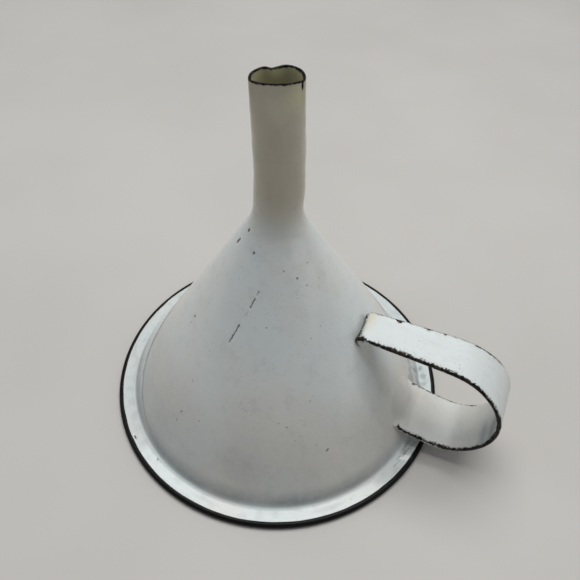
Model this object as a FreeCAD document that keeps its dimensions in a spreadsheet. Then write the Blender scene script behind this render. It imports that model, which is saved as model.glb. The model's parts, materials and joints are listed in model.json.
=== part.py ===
import FreeCAD, Part
import math
import os

import Sketcher

# An enamelled steel funnel standing on its mouth, spout up.
# Frame: millimetres, +Z up along the funnel's axis, origin at the centre of the mouth
# in the plane that the rim rests on, +X towards the handle.

PARTS_FOLDER = "parts"

DIMENSIONS = {
    # rim and flange
    "rim_diameter": 127.0,
    "bead_diameter": 2.4,
    "bead_flat": 0.8,
    "curl_gap_angle": 15.0,
    "flange_height": 2.0,
    "foot_fillet": 1.8,
    # bowl
    "sheet": 0.8,
    "cone_half_angle": 31.0,
    "cone_foot_radius": 57.2,
    "neck_bend": 18.1,
    "neck_height": 93.0,
    # spout
    "spout_diameter": 14.8,
    "funnel_height": 129.0,
    "lip_rounding": 0.3,
    # butt weld between neck and spout: its heights at the outer face and at the bore
    "weld_face": 1.6,
    "weld_root": 0.4,
    # handle strap, measured to the middle of its thickness
    "strap_thickness": 1.6,
    "strap_width_top": 12.8,
    "strap_width_bottom": 21.6,
    "handle_height": 47.3,
    "handle_reach": 83.7,
    "handle_bend": 20.7,
    "handle_lower_bend": 13.2,
    "handle_lower_slope": 12.0,
    "handle_foot_height": 10.0,
    "handle_inset": 4.0,
    # tabs that lie on the cone, turned towards each other inside the loop
    "tab_length": 5.0,
    "tab_width_top": 10.8,
    "tab_width_bottom": 18.0,
    "tab_sink": 0.4,
    "outer_bend": 0.9,
    "inner_bend": 0.8,
    # spot welds between the tabs and the cone
    "spot_diameter": 2.6,
    "spot_thickness": 0.8,
    "spot_spacing_top": 5.2,
    "spot_spacing_bottom": 10.4,
}

START, END, CENTRE = 1, 2, 3
ORIGIN = (-1, START)
X_AXIS, Z_AXIS = -1, -2

SLOPE = "Dims.cone_half_angle * 1 deg"
SPOUT_RADIUS = "Dims.spout_diameter / 2"
# Height of the cone's tip above the rest plane, were the cone carried on to a point.
CONE_TIP = f"(Dims.flange_height + Dims.cone_foot_radius / tan({SLOPE}))"


def make_sheet(doc):
    """Write the driving dimensions into a spreadsheet, one named cell per row."""
    sheet = doc.addObject("Spreadsheet::Sheet", "Dims")
    for row, (name, value) in enumerate(DIMENSIONS.items(), start=1):
        sheet.set(f"A{row}", name)
        sheet.set(f"B{row}", str(value))
        sheet.setAlias(f"B{row}", name)
    doc.recompute()


# Sketch helpers


def origin_feature(body, role):
    """One of the body's own planes or axes, such as XZ_Plane."""
    return next(feature for feature in body.Origin.OriginFeatures if feature.Role == role)


def section_sketch(body, name):
    """A sketch in the plane of the funnel's axis and the handle: x outwards, y up."""
    sketch = body.newObject("Sketcher::SketchObject", name)
    sketch.AttachmentSupport = (origin_feature(body, "XZ_Plane"), [""])
    sketch.MapMode = "FlatFace"
    return sketch


def add_line(sketch, start, end):
    segment = Part.LineSegment(FreeCAD.Vector(*start, 0), FreeCAD.Vector(*end, 0))
    return sketch.addGeometry(segment, False)


def add_arc(sketch, centre, radius, start_angle, end_angle):
    """An arc that runs anticlockwise between two angles in degrees."""
    circle = Part.Circle(FreeCAD.Vector(*centre, 0), FreeCAD.Vector(0, 0, 1), radius)
    arc = Part.ArcOfCircle(circle, math.radians(start_angle), math.radians(end_angle))
    return sketch.addGeometry(arc, False)


def add_point(sketch, place):
    """A point that only helps the constraints."""
    return sketch.addGeometry(Part.Point(FreeCAD.Vector(*place, 0)), True)


def fix(sketch, kind, *items):
    return sketch.addConstraint(Sketcher.Constraint(kind, *items))


def drive(sketch, expression, kind, *items):
    """Add a dimension whose value follows the spreadsheet."""
    if kind == "Angle":
        expression = f"({expression}) * 1 deg"
        value = sketch.evalExpression(expression).getValueAs("rad")
    else:
        value = sketch.evalExpression(expression)
    index = fix(sketch, kind, *items, float(value))
    sketch.setExpression(f"Constraints[{index}]", expression)


def join(sketch, chain, closed=True):
    """Join each element's last point to the next one's first, smoothly where marked.

    chain holds (element, first point, last point, smooth at its last point)."""
    pairs = list(zip(chain, chain[1:] + chain[:1]))
    for (element, _, last, smooth), (following, first, _, _) in pairs if closed else pairs[:-1]:
        fix(sketch, "Tangent" if smooth else "Coincident", element, last, following, first)


def add_polygon(sketch, corners):
    """A closed outline of straight sides. Side i runs from corner i to the next."""
    sides = [
        add_line(sketch, corner, corners[(i + 1) % len(corners)])
        for i, corner in enumerate(corners)
    ]
    join(sketch, [(side, START, END, False) for side in sides])
    return sides


def lay_on_cone(sketch, line, lower_end, sink="0"):
    """Lay a line on the cone's outer face, or sunk below it by a distance along the normal.

    lower_end is the end of the line that is nearer the mouth."""
    radius = f"(Dims.cone_foot_radius - {sink} / cos({SLOPE}))"
    foot = add_point(sketch, (float(sketch.evalExpression(radius)), DIMENSIONS["flange_height"]))
    fix(sketch, "PointOnObject", foot, START, line)
    drive(sketch, radius, "DistanceX", *ORIGIN, foot, START)
    drive(sketch, "Dims.flange_height", "DistanceY", *ORIGIN, foot, START)
    drive(sketch, "90 + Dims.cone_half_angle", "Angle", X_AXIS, START, line, lower_end)


# Places that the outlines start from, before the constraints take over


def polar(centre, radius, angle):
    """The point at an angle in degrees on a circle."""
    turn = math.radians(angle)
    return (centre[0] + radius * math.cos(turn), centre[1] + radius * math.sin(turn))


def cone_radius(height, sink=0.0):
    """Radius of the cone's outer face at a height, or of the face sunk below it."""
    slope = math.radians(DIMENSIONS["cone_half_angle"])
    fall = (height - DIMENSIONS["flange_height"]) * math.tan(slope)
    return DIMENSIONS["cone_foot_radius"] - fall - sink / math.cos(slope)


def cone_height(radius, sink=0.0):
    """Height at which the cone's outer face, or the face sunk below it, has a radius."""
    slope = math.radians(DIMENSIONS["cone_half_angle"])
    start = DIMENSIONS["cone_foot_radius"] - sink / math.cos(slope)
    return DIMENSIONS["flange_height"] + (start - radius) / math.tan(slope)


# Features


def revolve(body, sketch, name):
    """Turn a section all the way round the funnel's axis."""
    turned = body.newObject("PartDesign::Revolution", name)
    turned.Profile = sketch
    turned.ReferenceAxis = (sketch, ["V_Axis"])
    turned.Angle = 360
    return turned


def round_edges(body, name, radius, wanted):
    """Fillet the edges of the body so far that a test picks."""
    body.Document.recompute()
    base = body.Tip
    edges = [f"Edge{i}" for i, edge in enumerate(base.Shape.Edges, start=1) if wanted(edge)]
    fillet = body.newObject("PartDesign::Fillet", name)
    fillet.Base = (base, edges)
    fillet.setExpression("Radius", radius)


# Bowl, rim and spout


def bowl_outline(sketch):
    """The sheet from the neck down the cone, out along the flange and round the rim wire."""
    d = DIMENSIONS
    sheet, flange, half_angle = d["sheet"], d["flange_height"], d["cone_half_angle"]
    neck_radius, fillet_radius = d["neck_bend"], d["foot_fillet"]
    bead = d["bead_diameter"] / 2
    wire = bead - sheet
    half_flat = d["bead_flat"] / 2
    centre = (d["rim_diameter"] / 2 - bead, math.sqrt(bead**2 - half_flat**2))
    outer = d["spout_diameter"] / 2
    inner = outer - sheet
    wall_angle = 180 + half_angle
    neck_offset = neck_radius * (1 - 1 / math.cos(math.radians(half_angle)))
    neck_centre = (outer + neck_radius, cone_height(outer + neck_offset))
    face_top = d["neck_height"] - d["weld_face"] / 2
    root_top = d["neck_height"] - d["weld_root"] / 2
    fillet_reach = fillet_radius * math.tan(math.radians((90 - half_angle) / 2))
    fillet_centre = (d["cone_foot_radius"] + fillet_reach, flange + fillet_radius)
    bead_entry = 180 - math.degrees(math.asin((flange - centre[1]) / bead))
    wire_entry = 180 - math.degrees(math.asin((flange - sheet - centre[1]) / wire))
    flat_angle = math.degrees(math.asin(half_flat / bead))
    curl_end = 180 + d["curl_gap_angle"]
    wall_start = polar(neck_centre, neck_radius, wall_angle)
    wall_end = polar(fillet_centre, fillet_radius, wall_angle)
    wall_under_start = polar(fillet_centre, fillet_radius + sheet, wall_angle)
    wall_under_end = polar(neck_centre, neck_radius + sheet, wall_angle)

    bevel = add_line(sketch, (inner, root_top), (outer, face_top))
    neck_side = add_line(sketch, (outer, face_top), (outer, neck_centre[1]))
    neck = add_arc(sketch, neck_centre, neck_radius, 180, wall_angle)
    wall = add_line(sketch, wall_start, wall_end)
    fillet = add_arc(sketch, fillet_centre, fillet_radius, wall_angle, 270)
    flange_top = add_line(sketch, (fillet_centre[0], flange), polar(centre, bead, bead_entry))
    bead_over = add_arc(sketch, centre, bead, flat_angle - 90, bead_entry)
    rest = add_line(sketch, (centre[0] + half_flat, 0), (centre[0] - half_flat, 0))
    bead_under = add_arc(sketch, centre, bead, curl_end, 270 - flat_angle)
    curl_edge = add_line(sketch, polar(centre, bead, curl_end), polar(centre, wire, curl_end))
    wire_seat = add_arc(sketch, centre, wire, curl_end - 360, wire_entry)
    flange_under = add_line(
        sketch, polar(centre, wire, wire_entry), (fillet_centre[0], flange - sheet)
    )
    fillet_under = add_arc(sketch, fillet_centre, fillet_radius + sheet, wall_angle, 270)
    wall_under = add_line(sketch, wall_under_start, wall_under_end)
    neck_under = add_arc(sketch, neck_centre, neck_radius + sheet, 180, wall_angle)
    neck_bore = add_line(sketch, (inner, neck_centre[1]), (inner, root_top))

    join(
        sketch,
        [
            (bevel, START, END, False),
            (neck_side, START, END, True),
            (neck, START, END, True),
            (wall, START, END, True),
            (fillet, START, END, True),
            (flange_top, START, END, False),
            (bead_over, END, START, False),
            (rest, START, END, False),
            (bead_under, END, START, False),
            (curl_edge, START, END, False),
            (wire_seat, START, END, False),
            (flange_under, START, END, True),
            (fillet_under, END, START, True),
            (wall_under, START, END, True),
            (neck_under, END, START, True),
            (neck_bore, START, END, False),
        ],
    )
    for level in (flange_top, rest, flange_under):
        fix(sketch, "Horizontal", level)
    fix(sketch, "Vertical", neck_side)
    for arc in (bead_under, wire_seat):
        fix(sketch, "Coincident", bead_over, CENTRE, arc, CENTRE)
    fix(sketch, "Coincident", fillet, CENTRE, fillet_under, CENTRE)
    fix(sketch, "Coincident", neck, CENTRE, neck_under, CENTRE)
    fix(sketch, "Equal", bead_over, bead_under)
    fix(sketch, "Parallel", wall, wall_under)
    fix(sketch, "Parallel", neck_side, neck_bore)
    fix(sketch, "PointOnObject", rest, START, X_AXIS)
    fix(sketch, "PointOnObject", bead_over, CENTRE, curl_edge)
    lay_on_cone(sketch, wall, END)
    drive(sketch, "Dims.foot_fillet", "Radius", fillet)
    drive(sketch, "Dims.neck_bend", "Radius", neck)
    drive(sketch, SPOUT_RADIUS, "DistanceX", *ORIGIN, neck_side, START)
    drive(sketch, "Dims.neck_height - Dims.weld_face / 2", "DistanceY", *ORIGIN, bevel, END)
    drive(sketch, "Dims.neck_height - Dims.weld_root / 2", "DistanceY", *ORIGIN, bevel, START)
    drive(sketch, "Dims.flange_height", "DistanceY", *ORIGIN, flange_top, START)
    drive(sketch, "Dims.sheet", "DistanceY", flange_under, END, flange_top, START)
    drive(sketch, "Dims.bead_diameter / 2", "Radius", bead_over)
    drive(sketch, "Dims.bead_diameter / 2 - Dims.sheet", "Radius", wire_seat)
    drive(sketch, "Dims.bead_flat", "DistanceX", rest, END, rest, START)
    bead_place = "(Dims.rim_diameter - Dims.bead_diameter) / 2"
    drive(sketch, bead_place, "DistanceX", *ORIGIN, bead_over, CENTRE)
    drive(sketch, "Dims.curl_gap_angle", "Angle", X_AXIS, START, curl_edge, START)


def build_bowl_sheet(doc):
    """Neck, cone, flange and rolled rim: one spun sheet, before the welds."""
    body = doc.addObject("PartDesign::Body", "bowl_sheet")
    sketch = section_sketch(body, "bowl_section")
    bowl_outline(sketch)
    revolve(body, sketch, "bowl_turned")
    return body


def build_rim_wire(doc):
    """The round wire that the edge of the sheet is rolled over."""
    wire = doc.addObject("Part::Torus", "rim_wire")
    wire.setExpression("Radius1", "(Dims.rim_diameter - Dims.bead_diameter) / 2")
    wire.setExpression("Radius2", "Dims.bead_diameter / 2 - Dims.sheet")
    height = "sqrt((Dims.bead_diameter / 2) ^ 2 - (Dims.bead_flat / 2) ^ 2)"
    wire.setExpression("Placement.Base.z", height)
    return wire


def tube_section(body, name, corners, heights):
    """A closed section of four sides, within the spout's wall, whose ends may slope.

    corners start at the bore's lower end and run to the outside. heights are the
    expressions for their heights, in the same order."""
    sketch = section_sketch(body, name)
    lower, outside, upper, bore = add_polygon(sketch, corners)
    fix(sketch, "Vertical", outside)
    fix(sketch, "Vertical", bore)
    drive(sketch, SPOUT_RADIUS, "DistanceX", *ORIGIN, outside, START)
    drive(sketch, "Dims.sheet", "DistanceX", lower, START, lower, END)
    for side, height in zip((lower, outside, upper, bore), heights):
        drive(sketch, height, "DistanceY", *ORIGIN, side, START)
    return sketch


def build_spout(doc):
    """The straight tube that is butt welded to the neck, its foot bevelled for the weld."""
    body = doc.addObject("PartDesign::Body", "spout")
    d = DIMENSIONS
    outer = d["spout_diameter"] / 2
    inner = outer - d["sheet"]
    neck, tip = d["neck_height"], d["funnel_height"]
    corners = [
        (inner, neck + d["weld_root"] / 2),
        (outer, neck + d["weld_face"] / 2),
        (outer, tip),
        (inner, tip),
    ]
    heights = [
        "Dims.neck_height + Dims.weld_root / 2",
        "Dims.neck_height + Dims.weld_face / 2",
        "Dims.funnel_height",
        "Dims.funnel_height",
    ]
    sketch = tube_section(body, "spout_section", corners, heights)
    revolve(body, sketch, "spout_turned")
    round_edges(
        body, "spout_lip", "Dims.lip_rounding", lambda edge: edge.BoundBox.ZMin > tip - 0.01
    )
    return body


def build_neck_weld(doc):
    """The ring of weld metal between the neck and the spout, ground flush with both."""
    body = doc.addObject("PartDesign::Body", "neck_weld")
    d = DIMENSIONS
    outer = d["spout_diameter"] / 2
    inner = outer - d["sheet"]
    neck, half_face, half_root = d["neck_height"], d["weld_face"] / 2, d["weld_root"] / 2
    corners = [
        (inner, neck - half_root),
        (outer, neck - half_face),
        (outer, neck + half_face),
        (inner, neck + half_root),
    ]
    heights = [
        "Dims.neck_height - Dims.weld_root / 2",
        "Dims.neck_height - Dims.weld_face / 2",
        "Dims.neck_height + Dims.weld_face / 2",
        "Dims.neck_height + Dims.weld_root / 2",
    ]
    sketch = tube_section(body, "neck_weld_section", corners, heights)
    revolve(body, sketch, "neck_weld_turned")
    return body


# Handle


def lower_bend_centre(foot, bend_centre):
    """Centre of the tighter bend, which touches the wide bend and the lower run."""
    d = DIMENSIONS
    along = polar((0, 0), 1, -d["handle_lower_slope"])
    above = polar(foot, d["handle_lower_bend"], 90 - d["handle_lower_slope"])
    away = (bend_centre[0] - above[0], bend_centre[1] - above[1])
    level = away[0] * along[0] + away[1] * along[1]
    aside = math.hypot(*away) ** 2 - level**2
    gap = d["handle_bend"] - d["handle_lower_bend"]
    return polar(above, level + math.sqrt(gap**2 - aside), -d["handle_lower_slope"])


def strap_path(body):
    """The middle line of the strap: level run, wide bend, tighter bend, rising lower run."""
    sketch = section_sketch(body, "strap_path")
    d = DIMENSIONS
    slope, bend, lower_bend = d["handle_lower_slope"], d["handle_bend"], d["handle_lower_bend"]
    height = d["handle_height"]
    foot_place = (cone_radius(d["handle_foot_height"]), d["handle_foot_height"])
    centre = (d["handle_reach"] - bend, height - bend)
    lower_centre = lower_bend_centre(foot_place, centre)
    turn_over = math.degrees(
        math.atan2(lower_centre[1] - centre[1], lower_centre[0] - centre[0])
    )
    lower_start = polar(lower_centre, lower_bend, -90 - slope)
    lower_end = polar(foot_place, d["handle_inset"], 180 - slope)

    run_start = (cone_radius(height) - d["handle_inset"], height)
    run = add_line(sketch, run_start, (centre[0], height))
    over = add_arc(sketch, centre, bend, turn_over, 90)
    under = add_arc(sketch, lower_centre, lower_bend, -90 - slope, turn_over)
    lower_run = add_line(sketch, lower_start, lower_end)
    join(
        sketch,
        [
            (run, START, END, True),
            (over, END, START, True),
            (under, END, START, True),
            (lower_run, START, END, False),
        ],
        closed=False,
    )
    fix(sketch, "Horizontal", run)
    foot = add_point(sketch, foot_place)
    fix(sketch, "PointOnObject", foot, START, lower_run)
    foot_radius = f"({CONE_TIP} - Dims.handle_foot_height) * tan({SLOPE})"
    run_radius = f"({CONE_TIP} - Dims.handle_height) * tan({SLOPE})"
    drive(sketch, foot_radius, "DistanceX", *ORIGIN, foot, START)
    drive(sketch, "Dims.handle_foot_height", "DistanceY", *ORIGIN, foot, START)
    drive(sketch, "Dims.handle_inset", "Distance", foot, START, lower_run, END)
    drive(sketch, "Dims.handle_lower_slope", "Angle", lower_run, END, X_AXIS, START)
    drive(sketch, f"{run_radius} - Dims.handle_inset", "DistanceX", *ORIGIN, run, START)
    drive(sketch, "Dims.handle_height", "DistanceY", *ORIGIN, run, START)
    drive(sketch, "Dims.handle_reach - Dims.handle_bend", "DistanceX", *ORIGIN, over, CENTRE)
    drive(sketch, "Dims.handle_bend", "Radius", over)
    drive(sketch, "Dims.handle_lower_bend", "Radius", under)
    return sketch


def strap_end(body, path, name, edge, place, width):
    """The strap's cross-section at one end of its path, centred on the path."""
    sketch = body.newObject("Sketcher::SketchObject", name)
    sketch.AttachmentSupport = [(path, edge)]
    sketch.MapMode = "NormalToEdge"
    sketch.MapPathParameter = place
    half_width, half_thickness = DIMENSIONS[width] / 2, DIMENSIONS["strap_thickness"] / 2
    corners = [
        (-half_width, -half_thickness),
        (half_width, -half_thickness),
        (half_width, half_thickness),
        (-half_width, half_thickness),
    ]
    bottom, right, top, left = add_polygon(sketch, corners)
    fix(sketch, "Horizontal", bottom)
    fix(sketch, "Horizontal", top)
    fix(sketch, "Vertical", right)
    fix(sketch, "Vertical", left)
    fix(sketch, "Symmetric", bottom, START, right, END, *ORIGIN)
    drive(sketch, f"Dims.{width}", "DistanceX", bottom, START, bottom, END)
    drive(sketch, "Dims.strap_thickness", "DistanceY", right, START, right, END)
    return sketch


def sweep_strap(body):
    """Sweep the strap along its path, growing evenly from its upper width to its lower one."""
    path = strap_path(body)
    body.Document.recompute()
    upper = strap_end(body, path, "strap_upper_end", "Edge1", 0, "strap_width_top")
    lower = strap_end(body, path, "strap_lower_end", "Edge4", 1, "strap_width_bottom")
    body.Document.recompute()
    strap = body.newObject("PartDesign::AdditivePipe", "strap_sweep")
    strap.Profile = upper
    strap.Spine = (path, ["Edge1", "Edge2", "Edge3", "Edge4"])
    strap.Transformation = "Multisection"
    strap.Sections = [(lower, [""])]


def add_tab(body, name, low, high, width):
    """A tab that lies on the cone between two heights, turned about the funnel's axis.

    Its inner face is sunk a little into the cone, for the trim that follows."""
    sketch = section_sketch(body, f"{name}_section")
    low_now, high_now = float(sketch.evalExpression(low)), float(sketch.evalExpression(high))
    thickness, sink = DIMENSIONS["strap_thickness"], DIMENSIONS["tab_sink"]
    corners = [
        (cone_radius(low_now, sink), low_now),
        (cone_radius(low_now, -thickness), low_now),
        (cone_radius(high_now, -thickness), high_now),
        (cone_radius(high_now, sink), high_now),
    ]
    bottom, outside, top, inside = add_polygon(sketch, corners)
    fix(sketch, "Horizontal", bottom)
    fix(sketch, "Horizontal", top)
    lay_on_cone(sketch, outside, START, "(0 - Dims.strap_thickness)")
    lay_on_cone(sketch, inside, END, "Dims.tab_sink")
    drive(sketch, low, "DistanceY", *ORIGIN, bottom, START)
    drive(sketch, high, "DistanceY", *ORIGIN, top, START)
    tab = body.newObject("PartDesign::Revolution", name)
    tab.Profile = sketch
    tab.ReferenceAxis = (sketch, ["V_Axis"])
    tab.Midplane = True
    tab.setExpression("Angle", f"2 * asin({width} / 2 / (({CONE_TIP} - {low}) * tan({SLOPE})))")


def trim_to_cone(body):
    """Cut away what lies inside the cone's outer face, so that both feet seat on it."""
    sketch = section_sketch(body, "trim_section")
    low = DIMENSIONS["flange_height"]
    high = DIMENSIONS["handle_height"] + DIMENSIONS["tab_length"]
    corners = [(0, low), (cone_radius(low), low), (cone_radius(high), high), (0, high)]
    bottom, wall, top, axis = add_polygon(sketch, corners)
    fix(sketch, "Horizontal", bottom)
    fix(sketch, "Horizontal", top)
    fix(sketch, "PointOnObject", axis, START, Z_AXIS)
    fix(sketch, "PointOnObject", axis, END, Z_AXIS)
    drive(sketch, "Dims.flange_height", "DistanceY", *ORIGIN, bottom, START)
    drive(sketch, "Dims.cone_foot_radius", "DistanceX", *ORIGIN, bottom, END)
    drive(sketch, "Dims.handle_height + Dims.tab_length", "DistanceY", *ORIGIN, top, START)
    drive(sketch, "90 + Dims.cone_half_angle", "Angle", X_AXIS, START, wall, START)
    trim = body.newObject("PartDesign::Groove", "foot_trim")
    trim.Profile = sketch
    trim.ReferenceAxis = (sketch, ["V_Axis"])
    trim.Angle = 360


def foot_crossing(foot_height, slope, aside, lift):
    """Where a face of the strap meets the cone's outer face or the tab's, in the XZ plane.

    aside is the strap face's distance above the strap's middle, and lift is the distance
    of the other face from the cone's."""
    half_angle = math.radians(DIMENSIONS["cone_half_angle"])
    slope = math.radians(slope)
    rise = aside * math.cos(half_angle) - lift * math.sin(slope)
    height = foot_height + rise / math.cos(slope + half_angle)
    return FreeCAD.Vector(cone_radius(height, -lift), 0, height)


def round_bends(body):
    """Round the strip's outer and inner corner where it turns from each run into its tab."""
    d = DIMENSIONS
    thickness = d["strap_thickness"]
    feet = {
        "upper": (d["handle_height"], 0, thickness / 2),
        "lower": (d["handle_foot_height"], d["handle_lower_slope"], -thickness / 2),
    }
    for foot, (height, slope, outer_side) in feet.items():
        corners = {
            "outer": foot_crossing(height, slope, outer_side, 0),
            "inner": foot_crossing(height, slope, -outer_side, thickness),
        }
        for corner, place in corners.items():
            vertex = Part.Vertex(place)
            round_edges(
                body,
                f"{foot}_{corner}_bend",
                f"Dims.{corner}_bend",
                lambda edge: edge.BoundBox.YLength > 1 and edge.distToShape(vertex)[0] < 0.02,
            )


def build_strap(doc):
    """The handle: one tapered strip bent to a loop, with a tab at each end."""
    body = doc.addObject("PartDesign::Body", "strap")
    sweep_strap(body)
    reach = "(Dims.strap_thickness / 2 + Dims.tab_length)"
    low, high = f"(Dims.handle_height - {reach})", "Dims.handle_height"
    add_tab(body, "upper_tab", low, high, "Dims.tab_width_top")
    low, high = "Dims.handle_foot_height", f"(Dims.handle_foot_height + {reach})"
    add_tab(body, "lower_tab", low, high, "Dims.tab_width_bottom")
    trim_to_cone(body)
    round_bends(body)
    return body


# Welds


def place_weld(doc, name, height, spacing):
    """A round weld nugget, half of it in the tab and half in the cone, square to the cone."""
    weld = doc.addObject("Part::Cylinder", name)
    weld.setExpression("Radius", "Dims.spot_diameter / 2")
    weld.setExpression("Height", "Dims.spot_thickness")
    radius = f"(({CONE_TIP} - {height}) * tan({SLOPE}))"
    turn = f"asin({spacing} / {radius})"
    base_radius = f"({radius} - Dims.spot_thickness / 2 * cos({SLOPE}))"
    base_height = f"({height} - Dims.spot_thickness / 2 * sin({SLOPE}))"
    base = f"vector({base_radius} * cos({turn}); {base_radius} * sin({turn}); {base_height})"
    square_to_cone = f"rotation({turn}; 90 - Dims.cone_half_angle; 0)"
    weld.setExpression("Placement", f"placement({base}; {square_to_cone})")
    return weld


def build_welds(doc):
    """Two spot welds through each tab."""
    middle = "(Dims.strap_thickness + Dims.tab_length) / 2"
    rows = {
        "upper": (f"(Dims.handle_height - {middle})", "Dims.spot_spacing_top"),
        "lower": (f"(Dims.handle_foot_height + {middle})", "Dims.spot_spacing_bottom"),
    }
    welds = doc.addObject("Part::Compound", "handle_welds")
    welds.Links = [
        place_weld(doc, f"{row}_weld_{side}", height, f"({sign} * {spacing} / 2)")
        for row, (height, spacing) in rows.items()
        for side, sign in (("front", -1), ("back", 1))
    ]
    return welds


def cut_weld_seats(doc, name, body, welds):
    """The finished sheet piece, with a seat for its half of each weld nugget."""
    piece = doc.addObject("Part::Cut", name)
    piece.Base = body
    piece.Tool = welds
    return piece


def build_funnel(doc):
    """Every node of the funnel, by name."""
    bowl_sheet, strap, welds = build_bowl_sheet(doc), build_strap(doc), build_welds(doc)
    doc.recompute()
    return [
        cut_weld_seats(doc, "bowl", bowl_sheet, welds),
        build_rim_wire(doc),
        build_spout(doc),
        build_neck_weld(doc),
        cut_weld_seats(doc, "handle_strap", strap, welds),
        welds,
    ]


def check(doc, nodes):
    """Stop if any object failed, or any node has no valid solid."""
    for item in doc.Objects:
        if "Invalid" in item.State or "Error" in item.State:
            raise RuntimeError(f"{item.Name} failed: {item.State}")
    for node in nodes:
        if node.Shape.isNull() or not node.Shape.isValid() or not node.Shape.Solids:
            raise RuntimeError(f"{node.Label} has no valid solid")


def write_parts(nodes):
    os.makedirs(PARTS_FOLDER, exist_ok=True)
    for node in nodes:
        node.Shape.exportStep(os.path.join(PARTS_FOLDER, f"{node.Label}.step"))


document = FreeCAD.newDocument("enamel_funnel")
make_sheet(document)
funnel = build_funnel(document)
document.recompute()
check(document, funnel)
write_parts(funnel)
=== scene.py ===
import json
import math

import bpy
import numpy as np
from mathutils import Matrix, Vector


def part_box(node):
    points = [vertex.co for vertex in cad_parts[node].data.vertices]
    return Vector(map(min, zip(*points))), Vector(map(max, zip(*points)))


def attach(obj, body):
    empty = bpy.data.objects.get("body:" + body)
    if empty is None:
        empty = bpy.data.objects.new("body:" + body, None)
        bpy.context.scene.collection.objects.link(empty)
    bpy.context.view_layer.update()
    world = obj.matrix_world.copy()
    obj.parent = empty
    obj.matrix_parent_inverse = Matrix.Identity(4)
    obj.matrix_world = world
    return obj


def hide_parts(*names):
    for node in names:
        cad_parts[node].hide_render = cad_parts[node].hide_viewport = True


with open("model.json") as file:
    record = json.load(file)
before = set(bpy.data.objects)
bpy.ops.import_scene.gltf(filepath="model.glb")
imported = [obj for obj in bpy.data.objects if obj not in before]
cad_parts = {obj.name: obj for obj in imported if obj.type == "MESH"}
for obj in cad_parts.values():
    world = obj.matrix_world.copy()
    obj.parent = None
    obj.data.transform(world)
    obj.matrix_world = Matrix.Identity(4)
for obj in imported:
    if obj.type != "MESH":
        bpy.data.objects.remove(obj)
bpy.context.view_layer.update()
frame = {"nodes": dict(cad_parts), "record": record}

# An enamelled steel funnel standing on its mouth, in the CAD part's frame: +Z up the
# funnel's axis, +X towards the handle. Lengths below are in millimetres, angles in degrees.

MM = 0.001


# Sizes. What the CAD nodes' boxes and the mounts tell is read from the frame. The plain
# numbers are driving dimensions that the frame doesn't hold.


def node_box(node):
    """Lowest and highest corner of a CAD node, in millimetres."""
    return [np.array(corner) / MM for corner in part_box(node)]


def mount_radius(name):
    mounts = {mount["name"]: mount for mount in frame["record"]["mounts"]}
    return mounts[name]["dims"]["r_mm"]


SPOUT_OUTER = mount_radius("spout_outside")
SPOUT_INNER = mount_radius("spout_bore")
SHEET = SPOUT_OUTER - SPOUT_INNER
TIP = node_box("spout")[1][2]
NECK = sum(corner[2] for corner in node_box("neck_weld")) / 2
WELD_FACE = node_box("neck_weld")[1][2] - node_box("neck_weld")[0][2]
WELD_ROOT = 0.4        # the weld's height in the bore

FLANGE = 2.0           # height of the flange's upper face
HALF_ANGLE = 31.0      # between the cone's wall and the axis
FOOT_RADIUS = 57.2     # where the line of the wall's outer face meets the flange
FOOT_FILLET = 1.8      # bend from the wall to the flange
NECK_BEND = 18.1       # bend from the wall to the neck

RIM_RADIUS = node_box("bowl")[1][0]
WIRE = (node_box("rim_wire")[1][2] - node_box("rim_wire")[0][2]) / 2
BEAD = WIRE + SHEET
BEAD_CENTRE = np.array([RIM_RADIUS - BEAD, node_box("rim_wire")[0][2] + WIRE])
CURL_GAP = 15.0        # how far below level the curl stops, round the bead

STRAP = 1.6            # the strap's thickness; its bends are measured to its middle line
HANDLE_HEIGHT = node_box("handle_strap")[1][2] - STRAP / 2
HANDLE_REACH = node_box("handle_strap")[1][0] - STRAP / 2
HANDLE_BEND = 20.7     # the loop's wide bend
LOWER_BEND = 13.2      # its tighter bend below
LOWER_SLOPE = 12.0     # how steeply the lower run falls away from the cone
FOOT_HEIGHT = 10.0     # where the line of the lower run meets the cone
TOP_WIDTH = 12.8
BOTTOM_WIDTH = 21.6
TOP_TURN = 1.7         # the fold at the upper foot
TOP_TAB = 5.0          # how far the upper tab hangs down the cone
FOOT_TURN = 6.0        # the sweep at the lower foot, rounder than in the CAD part
LOW_TAB = 9.5          # how far the lower tab rises up the cone, for that sweep


# Small geometry helpers


def polar(centre, radius, angle):
    turn = math.radians(angle)
    return np.array(centre) + radius * np.array([math.cos(turn), math.sin(turn)])


def cone_radius(height, lift=0.0):
    """Radius of the cone's outer face at a height, or of the face lifted off it."""
    slope = math.radians(HALF_ANGLE)
    return FOOT_RADIUS - (height - FLANGE) * math.tan(slope) + lift / math.cos(slope)


def cone_height(radius, lift=0.0):
    """Height of the cone's outer face at a radius, or of the face lifted off it."""
    slope = math.radians(HALF_ANGLE)
    return FLANGE + (FOOT_RADIUS + lift / math.cos(slope) - radius) / math.tan(slope)


def line(start, end, step):
    """Points along a line, without its last one."""
    start, end = np.array(start), np.array(end)
    count = max(1, round(np.linalg.norm(end - start) / step))
    return [start + (end - start) * i / count for i in range(count)]


def arc(centre, radius, start_angle, end_angle, step):
    """Points along an arc, without its last one."""
    count = max(1, round(abs(math.radians(end_angle - start_angle)) * radius / step))
    turn = (end_angle - start_angle) / count
    return [polar(centre, radius, start_angle + turn * i) for i in range(count)]


def smooth(value, low, high):
    """0 below low, 1 above high, and an even rise between."""
    share = np.clip((value - low) / (high - low), 0, 1)
    return share * share * (3 - 2 * share)


def band(value, rise_start, rise_end, fall_start, fall_end):
    """1 from rise_end to fall_start, with an even rise before it and an even fall after."""
    return smooth(value, rise_start, rise_end) * (1 - smooth(value, fall_start, fall_end))


def bell(value, centre, width):
    """1 at the centre, falling away alike on both sides."""
    return np.exp(-(((value - centre) / width) ** 2))


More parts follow.
